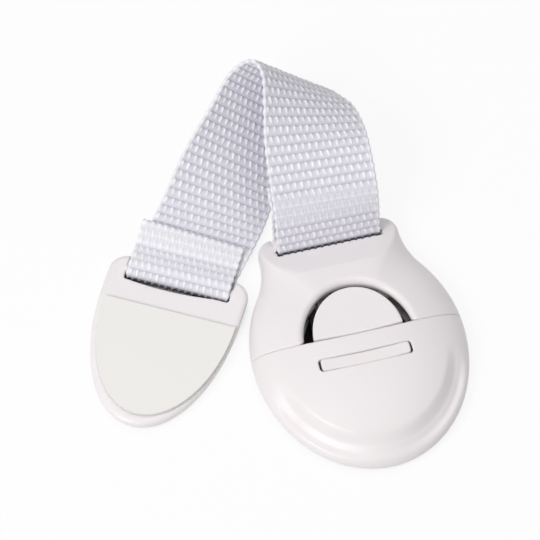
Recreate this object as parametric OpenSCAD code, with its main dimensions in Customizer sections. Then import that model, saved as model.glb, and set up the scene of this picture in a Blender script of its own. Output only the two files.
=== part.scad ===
// Strap lock for cupboard doors: a pear-shaped latch and a shield-shaped anchor joined by a webbing strap.
// Millimetres. The origin lies on the lock's adhesive face, +Y runs towards the strap, +Z out of the front.

/* [Lock outline] */
// Half of the lock's greatest width, at the parting line
lock_half_w = 25.4; // [23.5:0.1:27.5]
// Length of the glued half, from the parting line to its round end
cover_len = 31.7; // [29:0.1:35]
// Length of the latch half, from the parting line to its strap end
latch_len = 34; // [32.5:0.1:36]
// Half of the neck's width at the strap shoulders
neck_half_w = 17; // [16.5:0.1:18]
// Length of the straight neck below the shoulder corners
neck_run = 1; // [0.5:0.1:3]
// Share of the flank that bulges; the rest is the hollow of the neck
flank_share = 0.72; // [0.6:0.01:0.8]
// Radius of the shoulder corners
corner_r = 4.5; // [3:0.1:5]
// Distance of the parting line from the origin
parting_y = 5; // [3:0.1:7]
// Radius of the slight sag of the parting line
parting_r = 140; // [110:1:300]
// Gap between the two halves along the parting line
parting_gap = 0.3; // [0.2:0.05:0.5]

/* [Lock shell] */
// Height of the crown over the adhesive face
crown_z = 10.5; // [10.2:0.1:11.5]
// Height at which the side wall starts to roll over
rim_z = 2.2; // [1.9:0.1:2.6]
// Wall of the shells
wall = 1.6; // [1.2:0.1:1.8]
// Depth of the crescent step round the cover's end
step_depth = 1.6; // [1:0.1:1.8]
// Clearance between a shell and the plate inside it
plate_fit = 0.1; // [0.05:0.05:0.2]
// Thickness of the base plate and of the latch back plate
plate_t = 1.6; // [1.3:0.1:1.8]
// Depth of the sloped recess beside the strap slot
recess_depth = 1.4; // [1:0.1:1.6]
// Length of the sloped recess along the lock
recess_len = 6; // [4:0.1:7]
// Width of the sloped recess at its foot
recess_w = 30; // [27:0.5:31]

/* [Button and catch] */
// Radius of the half-round opening in the latch
hole_r = 12.8; // [12:0.1:13.5]
// Length of that opening along the lock, from the parting line
hole_len = 14; // [13.2:0.1:14.6]
// Length of the press pad along the lock, from the parting line
pad_len = 12.6; // [12:0.1:12.8]
// Gap between the press pad and the opening
pad_gap = 2.1; // [1.8:0.1:2.5]
// Height of the press pad's face over the adhesive face
pad_z = 10.2; // [9.9:0.1:10.4]
// Thickness of the press pad with its skirt
pad_t = 3.4; // [3.2:0.1:3.6]
// Width of the catch window
window_w = 22.3; // [18:0.1:24]
// Height of the catch window along the lock
window_h = 3.2; // [2.6:0.1:3.6]
// Distance of the window's middle from the parting line
window_drop = 6.5; // [5.5:0.1:7.5]
// Radius of the corners of the window and of the catch rib
window_round = 0.8; // [0.4:0.1:1]
// Gap at each end of the catch rib in its window
rib_end_gap = 0.9; // [0.5:0.1:1.2]
// Gap along each side of the catch rib in its window
rib_side_gap = 0.25; // [0.2:0.05:0.4]
// Thickness of the catch spring's arm
spring_t = 1.2; // [1:0.1:1.3]
// Radius of the button's pivot pin
pin_r = 0.8; // [0.7:0.05:0.9]
// Running clearance of the button on its pin
pin_fit = 0.05; // [0.02:0.01:0.1]
// Width of the guide tongue that enters the pocket
tongue_w = 17; // [15:0.5:18]
// Length of the guide tongue inside the pocket
tongue_len = 17; // [13:0.5:20]
// Thickness of the guide tongue
tongue_t = 1.4; // [1.2:0.1:1.6]

/* [Adhesive pads] */
// Thickness of the foam tape
foam_t = 1; // [0.8:0.1:1.2]
// Thickness of the release paper
liner_t = 0.15; // [0.1:0.05:0.2]
// Margin round the lock's pad
lock_pad_margin = 3; // [2:0.1:5]
// Half width of the anchor's pad
anchor_pad_half_w = 16; // [14:0.1:16.4]
// Length of the anchor's pad below its straight edge
anchor_pad_len = 28.2; // [24:0.1:29]
// Sideways shift of the anchor's pad, as it was stuck on
anchor_pad_shift = 0.5; // [0:0.1:0.6]

/* [Strap] */
// Width of the webbing
strap_w = 25; // [22:0.1:25.6]
// Thickness of the webbing
strap_t = 1.3; // [1.1:0.05:1.4]
// Clearance of a webbing loop on its bar
loop_fit = 0.08; // [0.04:0.01:0.1]
// Gap beside the webbing in its slots
slot_side_gap = 0.6; // [0.3:0.1:0.8]
// Gap between the webbing loop and the edge of its slot
slot_gap = 0.8; // [0.4:0.1:1]
// Radius of the bar on the latch
lock_bar_r = 1.5; // [1.2:0.05:1.6]
// Distance of the latch bar from the latch's end
lock_bar_back = 3.5; // [3.2:0.1:4]
// Height of the latch bar's axis
lock_bar_z = 4.9; // [4.6:0.1:5.2]
// Angle at which the strap stands up from the latch
lock_leave = 68; // [60:1:75]
// Angle at which the strap rises from the anchor
anchor_leave = 18; // [14:1:22]

/* [Anchor] */
// Half of the anchor's width
anchor_half_w = 17; // [16.2:0.1:19]
// Length of the anchor's tapered part
anchor_taper = 32.3; // [31.5:0.1:36]
// Length of the straight-sided part below the strap slot
anchor_straight = 5; // [4:0.1:6]
// Length of the shoulders beyond the strap slot
anchor_shoulder = 6; // [5.6:0.1:7]
// Thickness of the anchor plate
anchor_t = 3.6; // [3.4:0.1:4]
// Radius of the bar on the anchor
anchor_bar_r = 1.1; // [1:0.05:1.2]
// Turn of the anchor on the table, from the lock's axis
anchor_turn = -30; // [-34:1:-26]
// Sag of the slot's curved edge, either side of its mean line
anchor_sag = 0.4; // [0.1:0.05:0.5]

/* [Hidden] */
$fn = 96;

white = [0.93, 0.92, 0.92];
foam_white = [0.9, 0.9, 0.88];
cream = [0.95, 0.94, 0.89];
web_white = [0.92, 0.92, 0.97];
steel = [0.7, 0.7, 0.72];

// Heights of the layers
pad_top = liner_t + foam_t;
plate_z = pad_top;
seat_z = plate_z + 0.8;
plate_top = plate_z + plate_t;
latch_lift = 0.2;
latch_z = plate_z + latch_lift;
latch_floor = latch_z + plate_t;
tongue_lift = 0.25;
tongue_z = plate_top + tongue_lift;
tongue_top = tongue_z + tongue_t;
through = 60;

// Lock outline
lock_c = [0, parting_y - 1];
latch_end = parting_y + latch_len;
neck_y = latch_end - corner_r - neck_run;
flank_lean = 2 * atan((lock_half_w - neck_half_w) / (neck_y - parting_y));
flank_sum = (neck_y - parting_y) / sin(flank_lean);
flank_r = flank_sum * flank_share;
neck_r = flank_sum - flank_r;

function arc(c, r, a0, a1, n) = [for (i = [0:n]) let (a = a0 + (a1 - a0) * i / n) c + r * [cos(a), sin(a)]];
function mirrored(pts) = [for (i = [len(pts) - 1:-1:0]) [-pts[i].x, pts[i].y]];
function half_ellipse(c, rx, ry, n) =
    [for (i = [1:n - 1]) let (a = 180 + 180 * i / n) c + [rx * cos(a), ry * sin(a)]];

lock_flank = concat(
    arc([lock_half_w - flank_r, parting_y], flank_r, 0, flank_lean, 5),
    arc([neck_half_w + neck_r, neck_y], neck_r, 180 + flank_lean, 180, 4),
    arc([neck_half_w - corner_r, latch_end - corner_r], corner_r, 0, 90, 5));
lock_outline = concat(lock_flank, mirrored(lock_flank),
    half_ellipse([0, parting_y], lock_half_w, cover_len, 34));

// Crown of the lock: s runs from 0 at the middle to 1 at the outline
crown_n = 2.5;
step_top = 0.79;
step_foot = 0.88;
step_rim = 0.91;
step_fade = [parting_y - 6, parting_y - 18];
step_side = 14;
step_low = 0.45;
function ease(a, b, x) = let (t = min(1, max(0, (x - a) / (b - a)))) t * t * (3 - 2 * t);
function crown(s) = rim_z + (crown_z - rim_z) * sqrt(max(0, 1 - pow(s, crown_n)));
function step_at(s, p) = step_depth * ease(step_fade[0], step_fade[1], p.y)
    * (step_low + (1 - step_low) * ease(0, step_side, abs(p.x)))
    * ease(step_top, step_foot, s) * (1 - ease(step_rim, 1, s));
outer_rings = [1, 0.994, 0.98, 0.955, 0.92, 0.88, 0.84, 0.8, 0.76, 0.68, 0.56, 0.4, 0.2];
inner_rings = [1, 0.97, 0.93, 0.88, 0.82, 0.76, 0.6, 0.3];
inner_scale = 1 - wall / lock_half_w;
flange_scale = 0.985;
floor_scale = 0.86;
function lock_ring(s, drop, inset) = [for (p = lock_outline)
    let (q = lock_c + (p - lock_c) * s * inset) [q.x, q.y, crown(s) - step_at(s, p) - drop]];
function flat_ring(outline, c, s, z) = [for (p = outline) let (q = c + (p - c) * s) [q.x, q.y, z]];
function scaled(outline, c, s) = [for (p = outline) c + (p - c) * s];

// Strap bars and slots
lock_bar_y = latch_end - lock_bar_back;
lock_loop_r = lock_bar_r + loop_fit + strap_t / 2;
lock_slot_y = lock_bar_y - lock_loop_r - strap_t / 2 - slot_gap;
slot_half_w = strap_w / 2 + slot_side_gap;
anchor_at = [-37.8, 30.5, 0];
anchor_loop_r = anchor_bar_r + loop_fit + strap_t / 2;
anchor_bar_z = anchor_t - anchor_bar_r;
anchor_bar_y = anchor_loop_r + strap_t / 2;
anchor_slot_y = -slot_gap;
anchor_axis = [-sin(anchor_turn), cos(anchor_turn), 0];
anchor_across = [cos(anchor_turn), sin(anchor_turn), 0];

// Recess beside the slot, and the end of the hollow below it
function crown_at(y) = crown((y - lock_c.y) / (latch_end - lock_c.y));
recess_foot = crown_at(lock_slot_y) - recess_depth;
recess_tilt = atan((crown_at(lock_slot_y - recess_len) - recess_foot) / recess_len);
hollow_end = lock_slot_y - recess_len / 2;
recess_corner = arc([recess_w / 2 - 4, 2.5 - recess_len / cos(recess_tilt)], 2.5, -90, 0, 6);

// Anchor outline, in the anchor's own axes with the strap slot at zero
anchor_c = [0, -anchor_straight - 8];
anchor_corner = arc([anchor_half_w - corner_r, anchor_shoulder - corner_r], corner_r, 0, 90, 5);
anchor_outline = concat([[anchor_half_w, -anchor_straight]], anchor_corner, mirrored(anchor_corner),
    [[-anchor_half_w, -anchor_straight]],
    half_ellipse([0, -anchor_straight], anchor_half_w, anchor_taper, 34));
anchor_edge = [[0.86, 0], [0.93, 0.1], [0.97, 0.28], [0.99, 0.5], [1, 0.72], [0.992, 0.9], [0.972, 1]];
anchor_pad_y = -anchor_straight - 1.8;
anchor_slot_edge = [for (i = [-8:8]) [slot_half_w * i / 8, anchor_slot_y + anchor_sag * (2 * i * i / 64 - 1)]];

// Button and catch
pivot_y = parting_y + 16;
pivot_z = 5;
boss_r = pin_r + 0.95;
pad_r = hole_r - pad_gap;
pad_front_gap = 0.6;
pad_bottom = pad_z - pad_t;
pad_wall = 1.2;
pad_edge = 0.4;
pad_top_t = 1.6;
skirt_t = 1.3;
skirt_z = pivot_z + 1.4;
rim_chamfer = 1.2;
lever_x = [7.6, 9.8];
lever_z = [pivot_z - 0.8, skirt_z - 0.3];
lever_y = parting_y + 5.3;
lug_gap = 0.4;
lug_t = 2;
lug_x = lever_x[1] + lug_gap;
lug_top = pivot_z + pin_r + 0.6;
riser_len = 3.2;
spring_half_w = 6.8;
spring_root = [parting_y + 9.5, parting_y + 13.6];
head_half_w = window_w / 2 - rib_end_gap;
head_z = 6.4;
head_y = parting_y - window_drop;
rib_z = pad_z - 0.1;
rib_h = window_h - 2 * rib_side_gap;
nub_y = parting_y + 4;
nub_gap = 0.05;
rail_t = 1.4;
rail_gap = 0.3;
window_r = parting_r + window_drop;

// Catch arm seen from the side, as height of its underside along the lock
arm_low = [parting_y + 1.2, latch_floor + 2.1];
function arm_z(y) = latch_floor + (arm_low.y - latch_floor) * (spring_root[0] - y) / (spring_root[0] - arm_low.x);

// Strap route: middle of the webbing and the way its width points, from the latch to the anchor
strap_route = [
    [[0.5, 39, 16], [25, -2, 1]],
    [[1, 48.5, 22], [25, -1, -2]],
    [[1.8, 59, 23.8], [22.5, 0, -10.5]],
    [[1.5, 66, 23], [19, -1, -16]],
    [[-0.8, 70.8, 21], [17.5, -2, -17.5]],
    [[-5.8, 70.7, 15.7], [17.5, -4, -17.5]],
    [[-12, 64.5, 10.5], [18, -6, -16]],
    [[-18.5, 56.5, 6.5], [20, -10, -11]],
    [[-24.6, 48, 4], [21.5, -11.5, -5]],
    [[-31.5, 39.3, 3], [21.5, -12.3, -1.2]]];
fold_at = 5;
fold_gap = 0.01;
steps = 5;
weld_gap = 0.15;
lock_flap = [0.75, 1.45];
anchor_flap = [0.8, 1.4];

function unit(v) = v / norm(v);
lock_way = [0, cos(lock_leave), sin(lock_leave)];
lock_bar = [0, lock_bar_y, lock_bar_z];
lock_side = [1, 0, 0];
lock_out = cross(lock_side, lock_way);
anchor_way = anchor_axis * cos(anchor_leave) + [0, 0, sin(anchor_leave)];
anchor_bar = anchor_at + anchor_axis * anchor_bar_y + [0, 0, anchor_bar_z];
anchor_out = -cross(anchor_across, anchor_way);
route = concat([[lock_bar + lock_out * lock_loop_r, lock_side]], strap_route,
    [[anchor_bar + anchor_out * anchor_loop_r, anchor_across]]);
last = len(route) - 1;

// Smooth curve through the route, where t counts stations; it leaves both bars along their own ways
function middle(i) = i < 0 ? route[1][0] - lock_way * 2 * norm(route[1][0] - route[0][0])
    : i > last ? route[last - 1][0] - anchor_way * 2 * norm(route[last - 1][0] - route[last][0])
    : route[i][0];
function width_way(i) = unit(route[min(last, max(0, i))][1]);
function blend(a, b, c, d, f) =
    0.5 * (2 * b + (c - a) * f + (2 * a - 5 * b + 4 * c - d) * f * f + (3 * b - a - 3 * c + d) * f * f * f);
function leg_mid(t) = let (i = min(last - 1, floor(t)))
    blend(middle(i - 1), middle(i), middle(i + 1), middle(i + 2), t - i);
function leg_way(t) = let (i = min(last - 1, floor(t)))
    unit(blend(width_way(i - 1), width_way(i), width_way(i + 1), width_way(i + 2), t - i));
function leg_normal(t) = unit(cross(leg_way(t), leg_mid(min(last, t + 0.02)) - leg_mid(max(0, t - 0.02))));

// Frames along the webbing: middle, way of the width, outward normal.
// A flap lies on the inner side of its leg, square to its own bar.
function leg_frame(t) = [leg_mid(t), leg_way(t), leg_normal(t)];
function flap_frame(t, bar, across) = let (n = leg_normal(t), p = leg_mid(t) - n * (strap_t + weld_gap),
    w = unit(across - n * (across * n))) [p - w * ((p - bar) * across), w, -n];
function loop_frames(bar, out, way, across, r) = [for (i = [0:12])
    let (a = 180 - 15 * i, n = cos(a) * out - sin(a) * way) [bar + r * n, across, n]];
lock_leg = concat(
    [for (i = [6:-1:0]) flap_frame(lock_flap[0] + (lock_flap[1] - lock_flap[0]) * i / 6, lock_bar, lock_side)],
    [[lock_bar - lock_out * lock_loop_r + lock_way * 2.5, lock_side, -lock_out]],
    loop_frames(lock_bar, lock_out, lock_way, lock_side, lock_loop_r),
    [for (i = [1:fold_at * steps - 1]) leg_frame(i / steps)],
    [leg_frame(fold_at - fold_gap)]);
anchor_loop = loop_frames(anchor_bar, anchor_out, anchor_way, anchor_across, anchor_loop_r);
anchor_leg = concat(
    [leg_frame(fold_at + fold_gap)],
    [for (i = [fold_at * steps + 1:last * steps - 1]) leg_frame(i / steps)],
    [for (i = [12:-1:0]) anchor_loop[i]],
    [[anchor_bar - anchor_out * anchor_loop_r + anchor_way * 2, anchor_across, -anchor_out]],
    [for (i = [0:6]) flap_frame(last - anchor_flap[0] - (anchor_flap[1] - anchor_flap[0]) * i / 6,
        anchor_bar, anchor_across)]);
function web_ring(f) = let (w = f[1] * strap_w / 2, n = f[2] * strap_t / 2)
    [f[0] + n - w, f[0] + n + w, f[0] - n + w, f[0] - n - w];

// Solid through rings of equal length, closed with a fan at each end
function mean(r) = [for (k = [0:2]) [for (p = r) p[k]] * [for (p = r) 1 / len(r)]];
module loft(rings) {
    n = len(rings[0]);
    m = len(rings);
    polyhedron(points = concat([for (r = rings) each r], [mean(rings[0]), mean(rings[m - 1])]),
        faces = concat(
            [for (j = [0:m - 2], i = [0:n - 1]) [j * n + i, j * n + n + i, j * n + (i + 1) % n]],
            [for (j = [0:m - 2], i = [0:n - 1]) [j * n + (i + 1) % n, j * n + n + i, j * n + n + (i + 1) % n]],
            [for (i = [0:n - 1]) [m * n, i, (i + 1) % n]],
            [for (i = [0:n - 1]) [m * n + 1, (m - 1) * n + (i + 1) % n, (m - 1) * n + i]]));
}

// Box between two corners
module box(a, b) {
    translate(a)
        cube(b - a);
}

// Keeps the latch's side of the parting line, moved back by a gap
module latch_half(gap) {
    intersection() {
        children();
        translate([0, parting_y + parting_r, -1])
            cylinder(r = parting_r - gap, h = through);
    }
}

// Keeps the glued side of the parting line
module cover_half() {
    difference() {
        children();
        translate([0, parting_y + parting_r, -1])
            cylinder(r = parting_r + parting_gap, h = through);
    }
}

module lock_crown() {
    loft(concat([flat_ring(lock_outline, lock_c, 1, seat_z)], [for (s = outer_rings) lock_ring(s, 0, 1)]));
}

module lock_hollow() {
    loft(concat([flat_ring(lock_outline, lock_c, inner_scale, rim_z - wall - 1)],
        [for (s = inner_rings) lock_ring(s, wall, inner_scale)]));
}

module lock_sheet(scale_in, z0, z1) {
    translate([0, 0, z0])
        linear_extrude(z1 - z0)
            polygon(scaled(lock_outline, lock_c, scale_in));
}

module strap_gate() {
    box([-slot_half_w, lock_slot_y, -1], [slot_half_w, latch_end + 5, through]);
}

// Arc-shaped bar along the parting line's curve, as wide and as high as asked
module window_bar(w, h, z0, z1) {
    translate([0, 0, z0])
        linear_extrude(z1 - z0)
            offset(r = window_round, $fn = 24)
                offset(delta = -window_round)
                    intersection() {
                        difference() {
                            translate([0, parting_y + parting_r])
                                circle(r = window_r + h / 2, $fn = 360);
                            translate([0, parting_y + parting_r])
                                circle(r = window_r - h / 2, $fn = 360);
                        }
                        translate([-w / 2, head_y - window_h * 2])
                            square([w, window_h * 4]);
                    }
}

// Round end about the parting line, r to each side and len along the lock, that may flare towards its top
module rounded_end(r, len, z0, z1, flare = 0) {
    translate([0, parting_y, z0])
        scale([1, len / r, 1])
            cylinder(r1 = r, r2 = r + flare, h = z1 - z0);
}

// Glued half of the lock
module base_plate() {
    color(white)
        union() {
            cover_half()
                union() {
                    lock_sheet(flange_scale, plate_z, seat_z);
                    lock_sheet(floor_scale, plate_z, plate_top);
                }
            for (side = [-1, 1])
                translate([side * (tongue_w / 2 + rail_gap + rail_t / 2), 0, 0])
                    box([-rail_t / 2, parting_y - tongue_len - 1, plate_z],
                        [rail_t / 2, parting_y - 2, tongue_top + 0.2]);
        }
}

module pocket_cover() {
    color(white)
        difference() {
            cover_half()
                lock_crown();
            lock_hollow();
            window_bar(window_w, window_h, seat_z, through);
        }
}

module lock_foam_pad() {
    color(foam_white)
        intersection() {
            lock_sheet(1 - lock_pad_margin / lock_half_w, liner_t, pad_top);
            box([-lock_half_w, -through, 0], [lock_half_w, parting_y - 2.5, pad_top]);
        }
}

module lock_release_liner() {
    color(cream)
        intersection() {
            lock_sheet(1 - lock_pad_margin / lock_half_w, 0, liner_t);
            box([-lock_half_w, -through, 0], [lock_half_w, parting_y - 2.5, pad_top]);
        }
}

// Half that draws out with the strap
module latch_front_shell() {
    color(white)
        union() {
            difference() {
                latch_half(0)
                    lock_crown();
                difference() {
                    lock_hollow();
                    box([-lock_half_w, hollow_end, -2], [lock_half_w, latch_end, through]);
                    rounded_end(hole_r + skirt_t, hole_len + skirt_t, skirt_z, through);
                }
                rounded_end(hole_r, hole_len, -1, through);
                translate([0, 0, crown_z - rim_chamfer])
                    rounded_end(hole_r, hole_len, 0, 2 * rim_chamfer, 2 * rim_chamfer);
                strap_gate();
                translate([0, lock_slot_y, recess_foot])
                    rotate([-recess_tilt, 0, 0])
                        linear_extrude(12)
                            polygon(concat(recess_corner, [[recess_w / 2, 1.5], [-recess_w / 2, 1.5]],
                                mirrored(recess_corner)));
            }
            translate([-slot_half_w - 1, lock_bar_y, lock_bar_z])
                rotate([0, 90, 0])
                    cylinder(r = lock_bar_r, h = 2 * slot_half_w + 2);
        }
}

module latch_back_plate() {
    color(white)
        difference() {
            union() {
                difference() {
                    latch_half(0)
                        lock_sheet(flange_scale, latch_z, seat_z);
                    strap_gate();
                }
                latch_half(parting_gap)
                    intersection() {
                        lock_sheet(floor_scale, latch_z, latch_floor);
                        box([-lock_half_w, 0, 0], [lock_half_w, hollow_end - plate_fit, through]);
                    }
                box([-tongue_w / 2, parting_y + 1, latch_z],
                    [tongue_w / 2, parting_y + riser_len, tongue_top]);
                box([-tongue_w / 2, parting_y - tongue_len, tongue_z],
                    [tongue_w / 2, parting_y + riser_len, tongue_top]);
                for (side = [-1, 1])
                    translate([side * (lug_x + lug_t / 2), 0, 0])
                        box([-lug_t / 2, pivot_y - 2, latch_z], [lug_t / 2, pivot_y + 2, lug_top]);
            }
            translate([-through / 2, pivot_y, pivot_z])
                rotate([0, 90, 0])
                    cylinder(r = pin_r, h = through);
        }
}

module button_pivot_pin() {
    color(steel)
        translate([-lug_x - lug_t, pivot_y, pivot_z])
            rotate([0, 90, 0])
                cylinder(r = pin_r, h = 2 * (lug_x + lug_t));
}

module release_button() {
    color(white)
        difference() {
            union() {
                latch_half(pad_front_gap)
                    difference() {
                        union() {
                            rounded_end(pad_r, pad_len, pad_bottom, pad_z - pad_edge);
                            rounded_end(pad_r, pad_len, pad_z - pad_edge, pad_z, -pad_edge);
                        }
                        difference() {
                            rounded_end(pad_r - pad_wall, pad_len - pad_wall, pad_bottom - 1, pad_z - pad_top_t);
                            box([-pad_r, parting_y - 1, 0],
                                [pad_r, parting_y + pad_front_gap + pad_wall + 0.4, through]);
                        }
                    }
                box([-spring_half_w, nub_y, arm_z(nub_y) + spring_t + nub_gap],
                    [spring_half_w, nub_y + 1, pad_z - 1]);
                for (side = [-1, 1])
                    translate([side * (lever_x[0] + lever_x[1]) / 2, 0, 0]) {
                        box([(lever_x[0] - lever_x[1]) / 2, lever_y, lever_z[0]],
                            [(lever_x[1] - lever_x[0]) / 2, pivot_y, lever_z[1]]);
                        box([(lever_x[0] - lever_x[1]) / 2, lever_y, lever_z[0]],
                            [(lever_x[1] - lever_x[0]) / 2, lever_y + 1.6, pad_z - 1]);
                        translate([(lever_x[0] - lever_x[1]) / 2, pivot_y, pivot_z])
                            rotate([0, 90, 0])
                                cylinder(r = boss_r, h = lever_x[1] - lever_x[0]);
                    }
            }
            translate([-through / 2, pivot_y, pivot_z])
                rotate([0, 90, 0])
                    cylinder(r = pin_r + pin_fit, h = through);
        }
}

module catch_spring() {
    color(white)
        union() {
            translate([-spring_half_w, 0, 0])
                rotate([90, 0, 90])
                    linear_extrude(2 * spring_half_w)
                        polygon([[spring_root[1], latch_floor], [spring_root[0], latch_floor], arm_low,
                            [parting_y - 1.2, head_z], [head_y, head_z], [head_y, head_z + spring_t],
                            [parting_y - 1.6, head_z + spring_t], [arm_low.x - 0.5, arm_low.y + spring_t + 0.2],
                            [spring_root[0], latch_floor + spring_t], [spring_root[1], latch_floor + spring_t]]);
            window_bar(2 * head_half_w, rib_h, head_z, rib_z);
        }
}

// Webbing
module strap_lock_leg() {
    color(web_white)
        loft([for (f = lock_leg) web_ring(f)]);
}

module strap_anchor_leg() {
    color(web_white)
        loft([for (f = anchor_leg) web_ring(f)]);
}

// Anchor end, lying on its front with the adhesive up
module at_anchor() {
    translate(anchor_at)
        rotate([0, 0, anchor_turn])
            children();
}

module anchor_pad_sheet(z0, z1) {
    translate([anchor_pad_shift, anchor_pad_y, z0])
        linear_extrude(z1 - z0)
            polygon(concat([[anchor_pad_half_w, 0], [-anchor_pad_half_w, 0]],
                half_ellipse([0, 0], anchor_pad_half_w, anchor_pad_len, 48)));
}

module anchor_plate() {
    color(white)
        at_anchor()
            union() {
                difference() {
                    loft([for (e = anchor_edge) flat_ring(anchor_outline, anchor_c, e[0], e[1] * anchor_t)]);
                    translate([0, 0, -1])
                        linear_extrude(through)
                            polygon(concat(anchor_slot_edge, [[slot_half_w, through], [-slot_half_w, through]]));
                }
                translate([-slot_half_w - 1, anchor_bar_y, anchor_bar_z])
                    rotate([0, 90, 0])
                        cylinder(r = anchor_bar_r, h = 2 * slot_half_w + 2);
            }
}

module anchor_foam_pad() {
    color(foam_white)
        at_anchor()
            anchor_pad_sheet(anchor_t, anchor_t + foam_t);
}

module anchor_release_liner() {
    color(cream)
        at_anchor()
            anchor_pad_sheet(anchor_t + foam_t, anchor_t + foam_t + liner_t);
}

base_plate();
pocket_cover();
lock_foam_pad();
lock_release_liner();
latch_front_shell();
latch_back_plate();
button_pivot_pin();
release_button();
catch_spring();
strap_lock_leg();
strap_anchor_leg();
anchor_plate();
anchor_foam_pad();
anchor_release_liner();
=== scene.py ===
import math
import bpy
import numpy as np
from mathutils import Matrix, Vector


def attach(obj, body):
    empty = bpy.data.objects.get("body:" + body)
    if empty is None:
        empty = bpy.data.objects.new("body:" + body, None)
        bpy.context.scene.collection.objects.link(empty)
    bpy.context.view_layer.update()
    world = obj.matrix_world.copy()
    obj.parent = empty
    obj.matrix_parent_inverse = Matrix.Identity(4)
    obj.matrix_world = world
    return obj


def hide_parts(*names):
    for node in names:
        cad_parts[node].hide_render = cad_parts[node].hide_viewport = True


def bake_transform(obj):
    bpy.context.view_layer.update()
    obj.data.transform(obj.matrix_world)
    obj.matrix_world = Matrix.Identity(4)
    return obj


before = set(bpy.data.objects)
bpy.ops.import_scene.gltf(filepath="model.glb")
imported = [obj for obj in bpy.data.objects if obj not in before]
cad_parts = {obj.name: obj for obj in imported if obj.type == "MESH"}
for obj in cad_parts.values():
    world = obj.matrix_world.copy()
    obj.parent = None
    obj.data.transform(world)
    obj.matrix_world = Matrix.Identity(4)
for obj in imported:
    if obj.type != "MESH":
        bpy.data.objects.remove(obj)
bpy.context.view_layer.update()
scene = bpy.context.scene
scene.view_settings.view_transform = "Standard"
MM = 0.001

# Camera: a long lens, in front of the lock and a little to its left, looking steeply down
AZIMUTH, ELEVATION = math.radians(-14), math.radians(60)
AIM = Vector((-16.0, 26.7, 9.7)) * MM
REACH, FIELD = 1.4, 126.5 * MM
SENSOR_W = 36
AWAY = Vector((math.sin(AZIMUTH) * math.cos(ELEVATION), -math.cos(AZIMUTH) * math.cos(ELEVATION),
               math.sin(ELEVATION)))
camera = bpy.data.objects.new("camera", bpy.data.cameras.new("camera"))
scene.collection.objects.link(camera)
camera.location = AIM + AWAY * REACH
camera.rotation_mode = "QUATERNION"
camera.rotation_quaternion = (-AWAY).to_track_quat("-Z", "Y")
camera.data.sensor_width = SENSOR_W
camera.data.lens = SENSOR_W * REACH / FIELD
camera.data.clip_start, camera.data.clip_end = 0.05, 20
scene.camera = camera

# Lock outline, in millimetres
HALF_W = 25.4
COVER_LEN = 31.7
LATCH_LEN = 34.0
NECK_HALF_W = 17.0
NECK_RUN = 0.2
CORNER_R = 5.4
FLANK_SHARE = 0.66
PARTING_Y = 5.0
PARTING_R = 140.0
LATCH_END = PARTING_Y + LATCH_LEN
CENTRE = np.array([0.0, PARTING_Y - 1])

# Lock housing: the dome and its walls
CROWN_Z = 10.5
CROWN_POWER = 2.5
RIM_Z = 2.2
WALL = 1.6
SKIRT_FOOT = 1.6
FOOT_ROUND = 0.35
WALL_ROUND = 0.2
KEPT_ROUND = 0.4
PARTING_GAP = 0.08
EDGE_R = 0.12

# Crescent step of the cover: STEP_TOP, STEP_FOOT and STEP_RIM are shares of the way out to the outline
STEP_DEPTH = 1.6
STEP_LOW = 0.45
STEP_SIDE = 14.0
STEP_FADE = (PARTING_Y - 6, PARTING_Y - 18)
STEP_TOP = 0.79
STEP_FOOT = 0.88
STEP_RIM = 0.91

# Opening for the press pad, with a skirt inside
HOLE_R = 12.8
HOLE_LEN = 14.0
HOLE_ROUND = 1.7
SKIRT_T = 1.3
SKIRT_Z = 6.4

# Strap slot, bar and sloped recess of the latch
STRAP_W = 25.0
STRAP_T = 1.3
LOOP_FIT = 0.08
SLOT_HALF_W = STRAP_W / 2 + 0.3
SLOT_GAP = 0.5
SLOT_ROUND = 0.4
BAR_FILLET = 0.2
LOCK_BAR_Y = LATCH_END - 3.5
LOCK_BAR_Z = 4.9
LOCK_BAR_R = 1.5
LOCK_BAR_BITE = 0.1
LOCK_LOOP_R = LOCK_BAR_R + LOOP_FIT + STRAP_T / 2
LOCK_SLOT_Y = LOCK_BAR_Y - LOCK_LOOP_R - STRAP_T / 2 - SLOT_GAP
RECESS_DEPTH = 2.0
RECESS_LEN = 7.3
RECESS_HALF_W = 16.2
RECESS_FLARE = 0.27
RECESS_WIDE_AT = 1.5
RECESS_CORNER_R = 2.5
RECESS_ROUND = 0.35

# Press button: the pad, its two lever arms and their pivot
PAD_R = 10.7
PAD_LEN = 12.6
PAD_Z = 10.2
PAD_T = 3.4
PAD_WALL = 1.2
PAD_TOP_T = 1.6
PAD_FRONT_GAP = 0.25
PAD_FRONT_WALL = PARTING_Y + PAD_FRONT_GAP + PAD_WALL + 0.4
PAD_UNDER = PAD_Z - 1
PAD_TOP_ROUND = 0.3
PAD_SIDE_ROUND = 0.2
PAD_INNER_ROUND = 0.1
NUB_Y = PARTING_Y + 4
NUB_T = 1
NUB_GAP = 0.05
LEVER_X = (7.6, 9.8)
LEVER_Y = PARTING_Y + 5.3
LEVER_Z = (4.2, 6.1)
POST_T = 1.6
POST_INSET = 0.2
PIVOT_Y = PARTING_Y + 16
PIVOT_Z = 5.0
PIN_R = 0.8
PIN_FIT = 0.05
BOSS_R = 1.75
SMALL_ROUND = 0.15

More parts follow.
